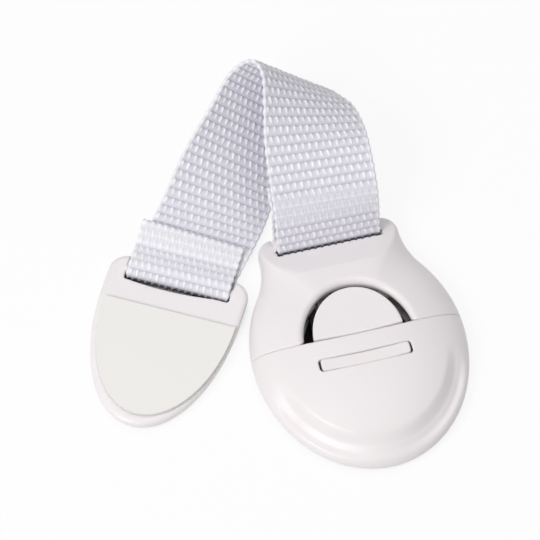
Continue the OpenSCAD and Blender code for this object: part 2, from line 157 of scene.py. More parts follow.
# Catch: the window in the cover, the spring arm under the pad and its rib
WINDOW_DROP = 6.5
WINDOW_W = 22.3
WINDOW_H = 3.2
WINDOW_ROUND = 0.8
RIB_W = WINDOW_W - 1.1
RIB_H = WINDOW_H - 0.2
RIB_Z = PAD_Z - 0.1
RIB_ROUND = WINDOW_ROUND - 0.1
RIB_LIFT = 0.5
RIB_FILLET = 0.2
LATCH_FLOOR = 2.95
SPRING_HALF_W = 6.8
SPRING_T = 1.2
SPRING_ROOT = (PARTING_Y + 9.5, PARTING_Y + 13.6)
SPRING_LOW_Y = PARTING_Y + 1.2
SPRING_LOW_Z = LATCH_FLOOR + 2.1
SPRING_BEND = (0.5, 0.2)
HEAD_Y = PARTING_Y - WINDOW_DROP
HEAD_Z = 6.4
HEAD_START = (PARTING_Y - 1.2, PARTING_Y - 1.6)

# Anchor, in its own axes with the strap slot at zero
ANCHOR_AT = np.array([-37.8, 30.5, 0.0])
ANCHOR_TURN = math.radians(-30)
ANCHOR_HALF_W = 17.0
ANCHOR_TAPER = 32.3
ANCHOR_STRAIGHT = 5.0
ANCHOR_SHOULDER = 6.0
ANCHOR_CORNER_R = 4.5
ANCHOR_CENTRE = (0, -ANCHOR_STRAIGHT - 8)
ANCHOR_T = 3.6
ANCHOR_WIDEST = 2.6
ANCHOR_DOME = 0.14
ANCHOR_LIP = 0.028
ANCHOR_EDGE_R = 0.4
ANCHOR_SAG = 0.5
ANCHOR_SAG_AT = -2.5
ANCHOR_SLOT_LEAST = -0.15
ANCHOR_SLOT_CORNER_R = 0.5
ANCHOR_SLOT_EDGE_R = 0.3
ANCHOR_BAR_R = 1.1
ANCHOR_BAR_BITE = 1
ANCHOR_LOOP_R = ANCHOR_BAR_R + LOOP_FIT + STRAP_T / 2
ANCHOR_BAR_Y = ANCHOR_LOOP_R + STRAP_T / 2
ANCHOR_BAR_Z = ANCHOR_T - ANCHOR_BAR_R

# Foam pads: FACE, EDGE and SWELL are shares of the pad's outline
FOAM_T = 1.0
FOAM_FACE = 0.9
FOAM_EDGE = 0.985
FOAM_SWELL = 1.004
FOAM_ROUND = 0.15
LINER_T = 0.15
CUT_POINTS = 60
LOCK_PAD_MARGIN = 3.0
LOCK_PAD_CUT = PARTING_Y - 2.5
ANCHOR_PAD_HALF_W = 16.0
ANCHOR_PAD_LEN = 28.2
ANCHOR_PAD_SHIFT = 0.5
ANCHOR_PAD_Y = -ANCHOR_STRAIGHT - 1.8

# Strap: middle of the webbing and the way its width points, from the latch to the anchor
ROUTE = [((0.5, 39, 16), (25, -2, 1)), ((1, 48.5, 22), (25, -1, -2)), ((1.8, 59, 23.8), (22.5, 0, -10.5)),
         ((1.5, 66, 23), (19, -1, -16)), ((-0.8, 70.8, 21), (17.5, -2, -17.5)),
         ((-5.8, 70.7, 15.7), (17.5, -4, -17.5)), ((-12, 64.5, 10.5), (18, -6, -16)),
         ((-18.5, 56.5, 6.5), (20, -10, -11)), ((-24.6, 48, 4), (21.5, -11.5, -5)),
         ((-31.5, 39.3, 3), (21.5, -12.3, -1.2))]
FOLD_AT = 5
FOLD_WAY = np.array([-0.6, 0.52, -0.58])
FOLD_RUN = 2.2
LOCK_LEAVE = math.radians(68)
ANCHOR_LEAVE = math.radians(18)
LEG_POINTS = 600
LOOP_POINTS = 40
FLAP_POINTS = 30

# Flaps and welds: where they lie along the route, counted in its points from each end
LOCK_FLAP = (1.45, 0.75)
ANCHOR_FLAP = (0.8, 1.4)
LOCK_WELD = (0.45, 0.65, 1.0, 1.2)
ANCHOR_WELD = (1.4, 1.3, 0.9, 0.7)
FLAP_NUDGE = 0.02

# Steps from the bars to the flaps and the gap under them, and how hard the anchor's welds press
LOCK_FLAP_STEP = 2.5
ANCHOR_FLAP_STEP = 2
WELD_GAP = 0.15
ANCHOR_WELD_SHARE = 0.8
ANCHOR_LOOP_WELD = 0.45

# Weave: warp floats in rows over ridges of weft, where places along a row are shares of its pitch
YARN_PITCH = 0.82
ROW_PITCH = 2.16
STEPS_A_ROW = 12
WEB_CORE = 0.43
FLOAT_RISE = 0.2
FLOAT_ROUND = 1.5
FLOAT_SLANT = 0.2
FLOAT_UPRIGHT = 0.4
FLOAT_HEAD = (0.5, 0.4)
FLOAT_TAIL = (-0.42, -0.08)
HOLLOW = -0.25
WEFT_RISE = -0.03
WEFT_ROUND = 0.5
WEFT_AT = -0.1
GROOVE = 0.1
GROOVE_RUN = (0.38, 0.5)
ROW_SCATTER = 12.9898
YARN_SCATTER = 4.1414
SIDE_WANDER = 0.05
TAIL_WANDER = 0.06
RISE_WANDER = 0.08
WELD_FLATTENS = 0.7
WELD_PALER = 0.2
PRESSED_ROWS = 0.05
PRESSED_YARNS = 0.04

# Edges and cut ends of the webbing
EDGE_ROUND = 0.45
SELVEDGE_W = 0.45
SELVEDGE_RISE = 0.05
BEAD_RISE = 0.08
SCALLOP = 0.09
END_RUN = 0.5
END_THIN = 0.8

# Painted shade in the gaps: each pair is where it starts and where it is full
WELL_EDGE = (1.06, 1.0)
WELL_START = (0.02, 0.07)
WELL_SLOPE = 2.4
WELL_TOP = (9.6, 8.6)
WELL_FLOOR = (2.2, 2.8)
SLOT_PAINTED_SHADE_FRONT = (-1.7, -1.4)
SLOT_PAINTED_SHADE_BACK = (0.6, 0.2)
SLOT_PAINTED_SHADE_TOP = (3.3, 2.8)
SLOT_PAINTED_SHADE_FLOOR = (0.8, 1.2)
SLOT_PAINTED_SHADE_SIDE_SQUARED = (165.0, 150.0)
TUCK_SIDE = (20, 18)
LOCK_TUCK_BELOW = (0.2, 0.9)
ANCHOR_TUCK_RUN = 0.6
ANCHOR_TUCK_Z = (3.2, 2.5)

# Spacing of the grids that the mouldings are cut from
SHELL_STEP = 0.25
SMALL_STEP = 0.2

# Floor, in metres: it lies just under the part
FLOOR_HALF_W = 3
FLOOR_DROP = 0.1 * MM


# Finishes

class Value:
    """A socket that can be added, subtracted and multiplied: each operation adds its own Math node."""

    def __init__(self, finish, socket):
        self.finish, self.socket = finish, socket

    def __add__(self, other):
        return self.finish.math("ADD", self, other)

    def __sub__(self, other):
        return self.finish.math("SUBTRACT", self, other)

    def __rsub__(self, other):
        return self.finish.math("SUBTRACT", other, self)

    def __mul__(self, other):
        return self.finish.math("MULTIPLY", self, other)

    __radd__, __rmul__ = __add__, __mul__


class Finish:
    """One material, built node by node."""

    def __init__(self, name):
        self.material = bpy.data.materials.new(name)
        self.material.use_nodes = True
        self.tree = self.material.node_tree
        self.tree.nodes.clear()

    def node(self, kind, settings=None, sockets=None, out=0):
        made = self.tree.nodes.new(kind)
        for key, value in (settings or {}).items():
            setattr(made, key, value)
        for key, value in (sockets or {}).items():
            if isinstance(value, Value):
                self.tree.links.new(value.socket, made.inputs[key])
            else:
                made.inputs[key].default_value = value
        if isinstance(out, tuple):
            return [Value(self, made.outputs[key]) for key in out]
        return Value(self, made.outputs[out]) if len(made.outputs) else None

    def math(self, operation, first, second):
        return self.node("ShaderNodeMath", {"operation": operation}, {0: first, 1: second})

    def place(self):
        return self.node("ShaderNodeTexCoord", out="Object")

    def attribute(self, name):
        return self.node("ShaderNodeAttribute", {"attribute_name": name}, out="Fac")

    def noise(self, where, scale, detail=2.0):
        return self.node("ShaderNodeTexNoise", None, {"Vector": where, "Scale": scale, "Detail": detail})

    def ease(self, start, stop, value):
        """0 up to start and 1 from stop on, with a soft change between them."""
        return self.node("ShaderNodeMapRange", {"interpolation_type": "SMOOTHSTEP"},
                         {0: value, 1: start, 2: stop})

    def mix(self, share, first, second):
        return self.node("ShaderNodeMix", {"data_type": "RGBA"}, {0: share, 6: first, 7: second}, out=2)

    def bump(self, height, depth):
        return self.node("ShaderNodeBump", None, {"Height": height, "Distance": depth})

    def end(self, shader):
        self.node("ShaderNodeOutputMaterial", None, {"Surface": shader})
        return self.material

    def principled(self, **sockets):
        named = {key.replace("_", " "): value for key, value in sockets.items()}
        return self.end(self.node("ShaderNodeBsdfPrincipled", None, named))


def tint(*colour):
    return (*colour, 1.0)


def anchor_axes(x, y):
    """Places across and along the anchor, for numbers and for sockets alike."""
    c, s = math.cos(ANCHOR_TURN), math.sin(ANCHOR_TURN)
    beside = (x - ANCHOR_AT[0]) * c + (y - ANCHOR_AT[1]) * s
    ahead = (y - ANCHOR_AT[1]) * c - (x - ANCHOR_AT[0]) * s
    return beside, ahead


def painted_shade_in_gaps(f, where):
    """Where shade is painted on the plastic: 1 deep in the gap round the press pad and low in the anchor's
    strap slot, 0 elsewhere.
    """
    x, y, z = (part * (1 / MM) for part in f.node("ShaderNodeSeparateXYZ", None, {0: where}, out=(0, 1, 2)))
    across, along = x * (1 / HOLE_R), (y - PARTING_Y) * (1 / HOLE_LEN)
    opening = f.ease(*WELL_EDGE, across * across + along * along) * f.ease(*WELL_START, along)
    well = opening * f.ease(*WELL_TOP, z + WELL_SLOPE * along) * f.ease(*WELL_FLOOR, z)
    beside, ahead = anchor_axes(x, y)
    slot = f.ease(*SLOT_PAINTED_SHADE_FRONT, ahead) * f.ease(*SLOT_PAINTED_SHADE_BACK, ahead)
    slot = slot * f.ease(*SLOT_PAINTED_SHADE_TOP, z) * f.ease(*SLOT_PAINTED_SHADE_FLOOR, z)
    return well + slot * f.ease(*SLOT_PAINTED_SHADE_SIDE_SQUARED, beside * beside)


def satin_plastic():
    """Moulded white plastic: a fine spark-eroded grain, a faint drift of tone, and painted shade deep in the
    gaps.
    """
    f = Finish("warm_white_plastic")
    where = f.place()
    drift, grain = f.noise(where, 70.0), f.noise(where, 4200.0, 3.0)
    tone = f.mix(drift, tint(0.845, 0.805, 0.815), tint(0.875, 0.84, 0.85))
    # Painted shade: the plastic turns near black deep in the gap round the press pad and in the anchor's
    # strap slot
    gap_shade = painted_shade_in_gaps(f, where)
    tone = f.mix(gap_shade, tone, tint(0.008, 0.006, 0.007))
    return f.principled(Base_Color=tone, Roughness=0.33 + 0.1 * drift + 0.5 * gap_shade,
                        Normal=f.bump(grain, 0.012 * MM))


def woven_web():
    """White nylon webbing: bright floats, hollows painted lavender-grey as shade, fine filaments, and painted
    shade inside the slots.
    """
    f = Finish("white_webbing")
    relief, slot_shade, along, across = (f.attribute(name) for name in ("relief", "slot_shade", "along", "across"))
    place = f.node("ShaderNodeCombineXYZ", None, {0: across * 9.0, 1: along * 1.6, 2: relief})
    filament, cloud = f.noise(place, 1.0, 3.0), f.noise(f.place(), 160.0)
    # Painted shade in the hollows: low places of the weave are tinted lavender-grey, crests near white
    yarn = f.mix(relief, tint(0.47, 0.455, 0.58), tint(0.98, 0.975, 0.995))
    tone = f.mix(0.15 * filament + 0.12 * cloud, yarn, tint(0.95, 0.945, 0.975))
    # Painted shade: the webbing turns near black inside the strap slots
    tone = f.mix(slot_shade, tone, tint(0.02, 0.012, 0.035))
    return f.principled(Base_Color=tone, Roughness=0.4 + 0.15 * filament, Normal=f.bump(filament, 0.05 * MM),
                        Sheen_Weight=0.15)


def release_paper():
    """Cream coated paper with a faint fibre mottle."""
    f = Finish("cream_release_paper")
    where = f.place()
    fibre, cloud = f.noise(where, 1500.0, 4.0), f.noise(where, 90.0)
    tone = f.mix(0.5 * fibre + 0.5 * cloud, tint(0.845, 0.83, 0.80), tint(0.88, 0.87, 0.845))
    return f.principled(Base_Color=tone, Roughness=0.36 + 0.16 * fibre, Normal=f.bump(fibre, 0.01 * MM))


def foam_tape():
    """White closed-cell foam, its cells just visible on the cut edge."""
    f = Finish("white_foam")
    cells = f.node("ShaderNodeTexVoronoi", None, {"Vector": f.place(), "Scale": 3600.0})
    tone = f.mix(cells, tint(0.86, 0.85, 0.84), tint(0.70, 0.69, 0.69))
    return f.principled(Base_Color=tone, Roughness=0.7 + 0.2 * cells, Normal=f.bump(cells, 0.08 * MM))


def drawn_wire():
    """Bright steel wire with faint drawing marks."""
    f = Finish("drawn_wire")
    marks = f.noise(f.place(), 1800.0)
    tone = f.mix(marks, tint(0.58, 0.58, 0.6), tint(0.74, 0.74, 0.76))
    return f.principled(Base_Color=tone, Metallic=1.0, Roughness=0.26 + 0.14 * marks)


def pale_floor():
    """White table: to the camera it is mostly plain white, and it keeps the object's shadow."""
    f = Finish("pale_floor")
    camera_ray, glossy_ray, through_ray = f.node(
        "ShaderNodeLightPath", out=("Is Camera Ray", "Is Glossy Ray", "Is Transmission Ray"))
    tone = f.mix(f.noise(f.place(), 300.0), tint(0.9, 0.9, 0.9), tint(0.92, 0.92, 0.92))
    paint = f.node("ShaderNodeBsdfPrincipled", None,
                   {"Base Color": tone, "Roughness": 1.0, "Specular IOR Level": 0.0})
    white = f.node("ShaderNodeEmission", None, {"Color": tint(1, 1, 1), "Strength": 1.0})
    open_air = f.node("ShaderNodeAmbientOcclusion", {"samples": 16}, {"Distance": 5 * MM}, out="AO")
    share = 0.88 * f.ease(0.1, 0.4, open_air) * (camera_ray + glossy_ray + through_ray)
    return f.end(f.node("ShaderNodeMixShader", None, {0: share, 1: paint, 2: white}))


PLASTIC, WEB, PAPER, FOAM, WIRE = satin_plastic(), woven_web(), release_paper(), foam_tape(), drawn_wire()


# Shapes from signed fields, which are negative inside, in millimetres

def both(a, b, r=0.05):
    """What lies in both fields, with the new edge rounded to r."""
    return np.minimum(np.maximum(a, b), -r) + np.hypot(np.maximum(a + r, 0), np.maximum(b + r, 0))


def either(a, b, r=0.05):
    """What lies in one field or the other, with a fillet of r where they meet."""
    return -both(-a, -b, r)


def without(a, b, r=0.05):
    return both(a, -b, r)


def true_scale(field, step):
    """The same surface, with the field counting millimetres near it."""
    slope = np.gradient(field, step)
    return field / np.maximum(np.sqrt(sum(g * g for g in slope)), 1e-4)


def grid(low, high, step):
    """Points of a box that holds a piece with a little room round it."""
    return np.meshgrid(*[np.arange(a, b + step, step) for a, b in zip(low, high)], indexing="ij")


def block(x, y, z, low, high, r=0.05):
    sides = [np.abs(v - (a + b) / 2) - (b - a) / 2 for v, a, b in zip((x, y, z), low, high)]
    return both(both(sides[0], sides[1], r), sides[2], r)


def oval(x, y, half_w, length):
    """About the distance to an oval round the middle of the parting line."""
    u, v = x, y - PARTING_Y
    share = np.hypot(u / half_w, v / length)
    return share * (share - 1) / np.maximum(np.hypot(u / half_w ** 2, v / length ** 2), 1e-6)


def polygon_field(x, y, corners):
    """Signed distance to a polygon with few corners."""
    far = np.full(x.shape, np.inf)
    inside = np.zeros(x.shape, bool)
    for (ax, ay), (bx, by) in zip(corners, corners[1:] + corners[:1]):
        run_x, run_y = bx - ax, by - ay
        share = np.clip(((x - ax) * run_x + (y - ay) * run_y) / (run_x ** 2 + run_y ** 2), 0, 1)
        far = np.minimum(far, np.hypot(x - ax - share * run_x, y - ay - share * run_y))
        if ay != by:
            inside ^= ((ay > y) != (by > y)) & (x < ax + (y - ay) * run_x / run_y)
    return np.where(inside, -far, far)


def sample(values, at):
    """Values of a grid between its points, at places counted in grid steps."""
    base = np.clip(np.floor(at).astype(int), 0, np.array(values.shape[:3]) - 2)
    part = at - base
    total = 0
    for corner in np.ndindex(2, 2, 2):
        share = np.prod(np.where(np.array(corner), part, 1 - part), axis=1)
        total = total + (values[tuple((base + corner).T)].T * share).T
    return total


def skin(field, low, step):
    """Surface of a field: one point in each cell that it crosses, evened out and drawn back onto it."""
    inside, cells = field < 0, np.array(field.shape) - 1
    total, count, quads = np.zeros((*cells, 3)), np.zeros(cells), []
    for axis in range(3):
        ahead = np.eye(3, dtype=int)[axis]
        edge = np.argwhere(np.diff(inside, axis=axis))
        edge = edge[np.all((edge > 0) & (edge < cells), axis=1)]
        a, b = field[tuple(edge.T)], field[tuple((edge + ahead).T)]
        crossing = edge + np.outer(a / (a - b), ahead)
        u, v = np.roll(ahead, 1), np.roll(ahead, 2)
        ring = np.stack([edge, edge - u, edge - u - v, edge - v], axis=1)
        for k in range(4):
            np.add.at(total, tuple(ring[:, k].T), crossing)
            np.add.at(count, tuple(ring[:, k].T), 1)
        quads.append(np.where((a < 0)[:, None, None], ring, ring[:, ::-1]))
    used = np.argwhere(count > 0)
    number = np.full(cells, -1)
    number[tuple(used.T)] = np.arange(len(used))
    points = total[tuple(used.T)] / count[tuple(used.T)][:, None]
    faces = number[tuple(np.concatenate(quads).reshape(-1, 3).T)].reshape(-1, 4)
    slope = np.stack(np.gradient(field), axis=-1)
    ends, others = faces.ravel(), np.roll(faces, -1, axis=1).ravel()
    for _ in range(4):
        near, share = np.zeros_like(points), np.zeros(len(points))
        np.add.at(near, ends, points[others])
        np.add.at(share, ends, 1)
        points = (points + near / share[:, None]) / 2
        for _ in range(2):
            way = sample(slope, points)
            move = sample(field, points) / np.maximum((way * way).sum(1), 1e-6)
            points = points - np.clip(move[:, None] * way, -0.5, 0.5)
    way = sample(slope, points)
    return points * step + np.array(low), faces.tolist(), way / np.linalg.norm(way, axis=1)[:, None]


def piece(name, points, faces, material, nodes, body=None, normals=None):
    """Shows a mesh in place of CAD nodes. A piece given no body is left unattached."""
    mesh = bpy.data.meshes.new(name)
    mesh.from_pydata((points * MM).tolist(), [], faces)
    mesh.polygons.foreach_set("use_smooth", [True] * len(mesh.polygons))
    if normals is not None:
        mesh.normals_split_custom_set_from_vertices(normals.tolist())
    mesh.materials.append(material)
    obj = bpy.data.objects.new(name, mesh)
    scene.collection.objects.link(obj)
    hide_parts(*nodes)
    if body:
        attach(obj, body)
    return obj


def moulding(name, field, low, step, node, body, to_row=None):
    points, faces, normals = skin(field, low, step)
    if to_row is not None:
        points, normals = to_row(points, 1), to_row(normals, 0)
    return piece(name, points, faces, PLASTIC, [node], body, normals)


# Lock

def arc(x, y, r, start, stop, count=60):
    turn = np.linspace(start, stop, count)
    return np.stack([x + r * np.cos(turn), y + r * np.sin(turn)], axis=1)


def half_ellipse(x, y, rx, ry, count=240):
    turn = np.linspace(math.pi, 2 * math.pi, count)[1:-1]
    return np.stack([x + rx * np.cos(turn), y + ry * np.sin(turn)], axis=1)


def mirrored(points):
    return points[::-1] * (-1, 1)


def lock_outline():
    neck_y = LATCH_END - CORNER_R - NECK_RUN
    lean = 2 * math.atan((HALF_W - NECK_HALF_W) / (neck_y - PARTING_Y))
    both_r = (neck_y - PARTING_Y) / math.sin(lean)
    flank_r, neck_r = both_r * FLANK_SHARE, both_r * (1 - FLANK_SHARE)
    flank = np.concatenate([
        arc(HALF_W - flank_r, PARTING_Y, flank_r, 0, lean),
        arc(NECK_HALF_W + neck_r, neck_y, neck_r, math.pi + lean, math.pi),
        arc(NECK_HALF_W - CORNER_R, LATCH_END - CORNER_R, CORNER_R, 0, math.pi / 2)])
    return np.concatenate([flank, mirrored(flank), half_ellipse(0, PARTING_Y, HALF_W, COVER_LEN)])


def share_of(outline, centre, x, y):
    """Share of the way out to the outline at which a point lies, and the outline point that way."""
    closed = np.concatenate([outline, outline[:1]])
    length = np.concatenate([[0], np.cumsum(np.hypot(*np.diff(closed, axis=0).T))])
    fine = np.linspace(0, length[-1], 4000)
    rel = np.stack([np.interp(fine, length, closed[:, k]) - centre[k] for k in (0, 1)])
    turn = np.arctan2(rel[1], rel[0])
    order = np.argsort(turn)
    way = np.arctan2(y - centre[1], x - centre[0])
    reach = np.interp(way, turn[order], np.hypot(*rel)[order], period=2 * math.pi)
    edge = centre[0] + reach * np.cos(way), centre[1] + reach * np.sin(way)
    return np.hypot(x - centre[0], y - centre[1]) / reach, edge


def ease(start, stop, value):
    """0 up to start and 1 from stop on, with a soft change between them."""
    t = np.clip((value - start) / (stop - start), 0, 1)
    return t * t * (3 - 2 * t)


def crown_at(y):
    share = (y - CENTRE[1]) / (LATCH_END - CENTRE[1])
    return RIM_Z + (CROWN_Z - RIM_Z) * math.sqrt(1 - share ** CROWN_POWER)


def crown_field(x, y, z, inset=1.0, drop=0.0):
    """The lock's domed solid, with the crescent step round the front of the cover."""
    share, (edge_x, edge_y) = share_of(LOCK_OUTLINE, CENTRE, x[:, :, 0], y[:, :, 0])
    s = share / inset
    strength = STEP_LOW + (1 - STEP_LOW) * ease(0, STEP_SIDE, np.abs(edge_x))
    dip = STEP_DEPTH * ease(*STEP_FADE, edge_y) * strength
    dip = dip * ease(STEP_TOP, STEP_FOOT, s) * (1 - ease(STEP_RIM, 1, s))
    rise = np.maximum(z + drop + dip[:, :, None] - RIM_Z, 0) / (CROWN_Z - RIM_Z)
    return true_scale(s[:, :, None] ** CROWN_POWER + rise ** 2 - 1, SHELL_STEP)


def from_parting(x, y):
    """Distance beyond the parting line, on the cover's side."""
    return np.hypot(x, y - PARTING_Y - PARTING_R) - PARTING_R


def window_bar(x, y, wide, high, r):
    """Bar bent along the parting line's curve."""
    return both(np.abs(x) - wide / 2, np.abs(from_parting(x, y) - WINDOW_DROP) - high / 2, r)


def across_bar(y, z, at_y, at_z, r):
    return np.hypot(y - at_y, z - at_z) - r


def shell(x, y, z, kept):
    """Open-bottomed shell with a solid stretch where kept is negative."""
    hollow = without(crown_field(x, y, z, 1 - WALL / HALF_W, WALL), kept, KEPT_ROUND)
    return without(both(crown_field(x, y, z), SKIRT_FOOT - z, FOOT_ROUND), hollow, WALL_ROUND)


def pocket_cover():
    low = (-26.4, -27.6, 1.2)
    x, y, z = grid(low, (26.4, 8.6, 11.4), SHELL_STEP)
    field = shell(x, y, z, np.ones(x.shape))
    field = both(field, PARTING_GAP - from_parting(x, y), EDGE_R)
    field = without(field, window_bar(x, y, WINDOW_W, WINDOW_H, WINDOW_ROUND), EDGE_R)
    moulding("pocket_cover_skin", field, low, SHELL_STEP, "pocket_cover", "glued_half")


def recess_foot():
    """Height of the recess at the latch's strap slot."""
    return crown_at(LOCK_SLOT_Y) - RECESS_DEPTH


def sloped_recess(x, y, z):
    """The flared hollow that leads down to the latch's strap slot."""
    foot = recess_foot()
    tilt = math.atan((crown_at(LOCK_SLOT_Y - RECESS_LEN) - foot) / RECESS_LEN)
    above = (y - LOCK_SLOT_Y) * math.sin(tilt) + (z - foot) * math.cos(tilt)
    along = (y - LOCK_SLOT_Y) * math.cos(tilt) - (z - foot) * math.sin(tilt)
    side = np.abs(x) - RECESS_HALF_W + RECESS_FLARE * (RECESS_WIDE_AT - along)
    return both(both(side, -along - RECESS_LEN / math.cos(tilt), RECESS_CORNER_R), -above, RECESS_ROUND)


def latch_front():
    low = (-26.4, 3.9, 1.2)
    x, y, z = grid(low, (26.4, 40.0, 11.4), SHELL_STEP)
    skirt = both(oval(x, y, HOLE_R + SKIRT_T, HOLE_LEN + SKIRT_T), SKIRT_Z - z)
    end_block = LOCK_SLOT_Y - RECESS_LEN / 2 - y
    field = shell(x, y, z, np.minimum(skirt, end_block))
    field = both(field, from_parting(x, y), EDGE_R)
    field = without(field, oval(x, y, HOLE_R, HOLE_LEN), HOLE_ROUND)
    field = without(field, sloped_recess(x, y, z), RECESS_ROUND)
    field = without(field, both(np.abs(x) - SLOT_HALF_W, LOCK_SLOT_Y - y, SLOT_ROUND), SLOT_ROUND)
    bar = across_bar(y, z, LOCK_BAR_Y, LOCK_BAR_Z, LOCK_BAR_R)
    field = either(field, both(bar, np.abs(x) - SLOT_HALF_W - LOCK_BAR_BITE), BAR_FILLET)
    moulding("latch_front_skin", field, low, SHELL_STEP, "latch_front_shell", "latch")


def arm_underside(y):
    """Height of the spring arm's underside, which rises from its root to the low end of its bend."""
    root = SPRING_ROOT[0]
    return LATCH_FLOOR + (SPRING_LOW_Z - LATCH_FLOOR) * (root - y) / (root - SPRING_LOW_Y)


def press_pad(x, y, z):
    """The half-disc, hollow from below."""
    pad = both(oval(x, y, PAD_R, PAD_LEN), from_parting(x, y) + PAD_FRONT_GAP, PAD_SIDE_ROUND)
    pad = both(both(pad, z - PAD_Z, PAD_TOP_ROUND), PAD_Z - PAD_T - z, PAD_SIDE_ROUND)
    inner = oval(x, y, PAD_R - PAD_WALL, PAD_LEN - PAD_WALL)
    return without(pad, both(both(inner, z - PAD_Z + PAD_TOP_T), PAD_FRONT_WALL - y), PAD_INNER_ROUND)


def lever_arm(x, y, z, side):
    """One of the two arms that carry the pad: a bar, a post up to the pad and a boss on the pin."""
    x0, x1 = sorted((side * LEVER_X[0], side * LEVER_X[1]))
    arm = block(x, y, z, (x0, LEVER_Y, LEVER_Z[0]), (x1, PIVOT_Y, LEVER_Z[1]), SMALL_ROUND)
    post = block(x, y, z, (x0, LEVER_Y, LEVER_Z[0]), (x1, LEVER_Y + POST_T, PAD_UNDER), SMALL_ROUND)
    post = both(post, oval(x, y, PAD_R - POST_INSET, PAD_LEN - POST_INSET), SMALL_ROUND)
    boss = both(across_bar(y, z, PIVOT_Y, PIVOT_Z, BOSS_R), np.maximum(x0 - x, x - x1), SMALL_ROUND)
    return either(either(arm, post), boss)


def release_button():
    low = (-11.6, 3.4, 2.4)
    x, y, z = grid(low, (11.6, 23.8, 11.2), SMALL_STEP)
    nub_foot = arm_underside(NUB_Y) + SPRING_T + NUB_GAP
    nub = block(x, y, z, (-SPRING_HALF_W, NUB_Y, nub_foot), (SPRING_HALF_W, NUB_Y + NUB_T, PAD_UNDER))
    field = either(press_pad(x, y, z), nub)
    for side in (-1, 1):
        field = either(field, lever_arm(x, y, z, side))
    field = without(field, across_bar(y, z, PIVOT_Y, PIVOT_Z, PIN_R + PIN_FIT))
    moulding("release_button_skin", field, low, SMALL_STEP, "release_button", "button")


def catch_spring():
    low = (-11.2, -4.4, 2.2)
    x, y, z = grid(low, (11.2, 19.4, 11.0), SMALL_STEP)
    near_root, far_root = SPRING_ROOT
    low_z = arm_underside(SPRING_LOW_Y)
    bend_y, bend_z = SPRING_LOW_Y - SPRING_BEND[0], low_z + SPRING_T + SPRING_BEND[1]
    side_view = [(far_root, LATCH_FLOOR), (near_root, LATCH_FLOOR), (SPRING_LOW_Y, low_z),
                 (HEAD_START[0], HEAD_Z), (HEAD_Y, HEAD_Z), (HEAD_Y, HEAD_Z + SPRING_T),
                 (HEAD_START[1], HEAD_Z + SPRING_T), (bend_y, bend_z),
                 (near_root, LATCH_FLOOR + SPRING_T), (far_root, LATCH_FLOOR + SPRING_T)]
    profile = polygon_field(y[0], z[0], side_view)[None]
    arm = both(profile, np.abs(x) - SPRING_HALF_W, SMALL_ROUND)
    rib = both(window_bar(x, y, RIB_W, RIB_H, RIB_ROUND), z - RIB_Z, SMALL_ROUND)
    rib = both(rib, HEAD_Z + RIB_LIFT - z, SMALL_ROUND)
    field = either(arm, rib, RIB_FILLET)
    obj = moulding("catch_spring_skin", field, low, SMALL_STEP, "catch_spring", None)
    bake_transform(obj)


# Anchor

def anchor_to_row(points, shift):
    c, s = math.cos(ANCHOR_TURN), math.sin(ANCHOR_TURN)
    turned = points @ np.array([[c, s, 0], [-s, c, 0], [0, 0, 1]])
    return turned + ANCHOR_AT * shift


def anchor_plate():
    low = (-18.2, -38.4, -0.9)
    x, y, z = grid(low, (18.2, 7.2, 4.5), SHELL_STEP)
    r = ANCHOR_CORNER_R
    corner = arc(ANCHOR_HALF_W - r, ANCHOR_SHOULDER - r, r, 0, math.pi / 2)
    outline = np.concatenate([corner, mirrored(corner),
                              half_ellipse(0, -ANCHOR_STRAIGHT, ANCHOR_HALF_W, ANCHOR_TAPER)])
    share, _ = share_of(outline, ANCHOR_CENTRE, x[:, :, 0], y[:, :, 0])
    below = np.clip(1 - z / ANCHOR_WIDEST, 0, 1)
    above = np.clip((z - ANCHOR_WIDEST) / (ANCHOR_T - ANCHOR_WIDEST), 0, 1)
    bulge = 1 - ANCHOR_DOME * below ** 3 - ANCHOR_LIP * above ** 2
    edge = true_scale(share[:, :, None] - bulge, SHELL_STEP)
    field = both(edge, np.abs(z - ANCHOR_T / 2) - ANCHOR_T / 2, ANCHOR_EDGE_R)
    sag = ANCHOR_SAG * (2 * ((x - ANCHOR_SAG_AT) / SLOT_HALF_W) ** 2 - 1)
    slot_edge = np.minimum(sag - SLOT_GAP, ANCHOR_SLOT_LEAST)
    slot = both(np.abs(x) - SLOT_HALF_W, slot_edge - y, ANCHOR_SLOT_CORNER_R)
    field = without(field, slot, ANCHOR_SLOT_EDGE_R)
    bar = across_bar(y, z, ANCHOR_BAR_Y, ANCHOR_BAR_Z, ANCHOR_BAR_R)
    field = either(field, both(bar, np.abs(x) - SLOT_HALF_W - ANCHOR_BAR_BITE), BAR_FILLET)
    moulding("anchor_plate_skin", field, low, SHELL_STEP, "anchor_plate", "anchor", anchor_to_row)


def foam_pad(name, outline, z0, z1, node, body, to_row):
    """Die-cut foam with a barely rounded edge, swelling a little between its faces."""
    middle = outline.mean(axis=0)
    profile = [(FOAM_FACE, z0), (FOAM_EDGE, z0), (1.0, z0 + FOAM_ROUND), (FOAM_SWELL, (z0 + z1) / 2),
               (1.0, z1 - FOAM_ROUND), (FOAM_EDGE, z1), (FOAM_FACE, z1)]
    count, rings = len(outline), []
    for scale, z in profile:
        flat = middle + (outline - middle) * scale
        rings.append(np.column_stack([flat, np.full(count, z)]))
    points = np.concatenate(rings + [[(*middle, z0)], [(*middle, z1)]])
    pairs = [(i, (i + 1) % count) for i in range(count)]
    faces = [(k * count + a, k * count + b, k * count + count + b, k * count + count + a)
             for k in range(len(profile) - 1) for a, b in pairs]
    top, first, last = len(points) - 1, len(points) - 2, (len(profile) - 1) * count
    faces += [(first, b, a) for a, b in pairs] + [(top, last + a, last + b) for a, b in pairs]
    piece(name, to_row(points, 1), faces, FOAM, [node], body)


def cut_edge(start, stop, y):
    """The straight edge of a pad."""
    return np.column_stack([np.linspace(start, stop, CUT_POINTS), np.full(CUT_POINTS, y)])


